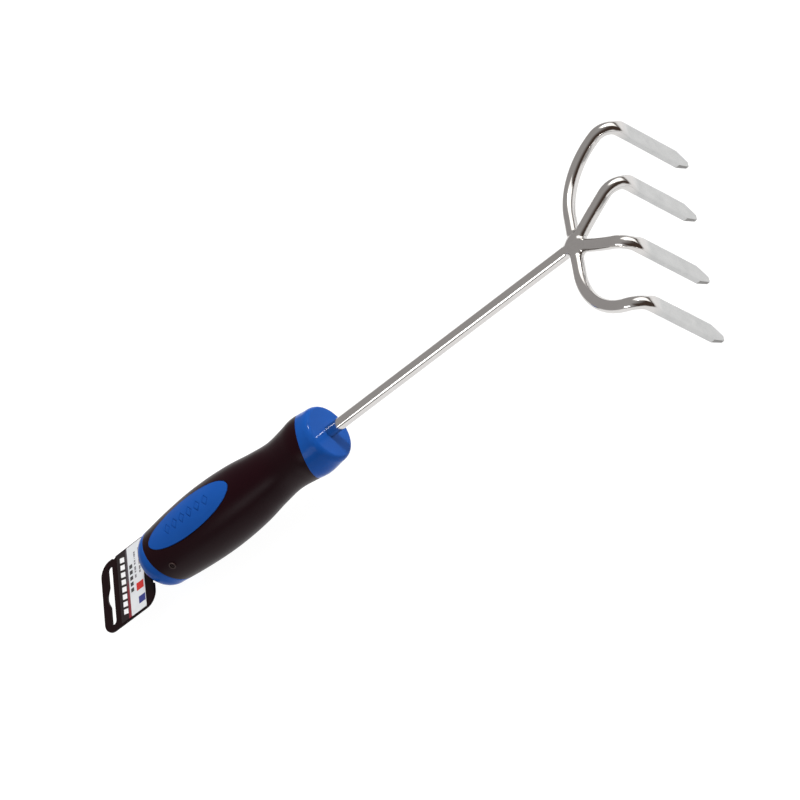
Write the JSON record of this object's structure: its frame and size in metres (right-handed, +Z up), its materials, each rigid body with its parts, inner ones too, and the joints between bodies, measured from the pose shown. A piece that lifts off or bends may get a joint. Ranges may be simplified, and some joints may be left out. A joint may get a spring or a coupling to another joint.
{
  "type": "hand cultivator",
  "caption": "Short-handled garden cultivator: bent steel tines welded to a rod shaft, two-material grip with thumb pad, and a plastic hang card in the butt.",
  "frame": {"origin": "middle of the tool's footprint, on the surface where its tine tips and butt rest", "axes": "+Y from the handle towards the tines, +X to the right-hand tines, +Z up"},
  "size_m": [0.109, 0.3662, 0.054],
  "materials": {
    "polished_steel": "mirror-polished rods, satin blades",
    "weld_steel": "ground and polished weld metal",
    "blue_plastic": "glossy moulded plastic",
    "black_grip": "soft matt moulded grip rubber",
    "card_plastic": "smooth black sheet plastic",
    "label_paper": "coated printed label"
  },
  "bodies": {
    "tool": {"shaft": "polished_steel", "outer_bow": "polished_steel", "left_inner_tine": "polished_steel", "right_inner_tine": "polished_steel", "shaft_weld": "weld_steel", "left_tine_weld": "weld_steel", "right_tine_weld": "weld_steel", "crotch_weld": "weld_steel", "handle_core": "blue_plastic", "grip_sleeve": "black_grip", "thumb_inlay": "blue_plastic", "butt_cap": "blue_plastic"},
    "card": {"hang_card": "card_plastic", "card_label": "label_paper"}
  },
  "joints": [
    {"name": "card_pull", "type": "slide", "parent": "tool", "child": "card", "axis": [0, -0.9934, -0.1146], "range_m": [0, 0.013]}
  ]
}
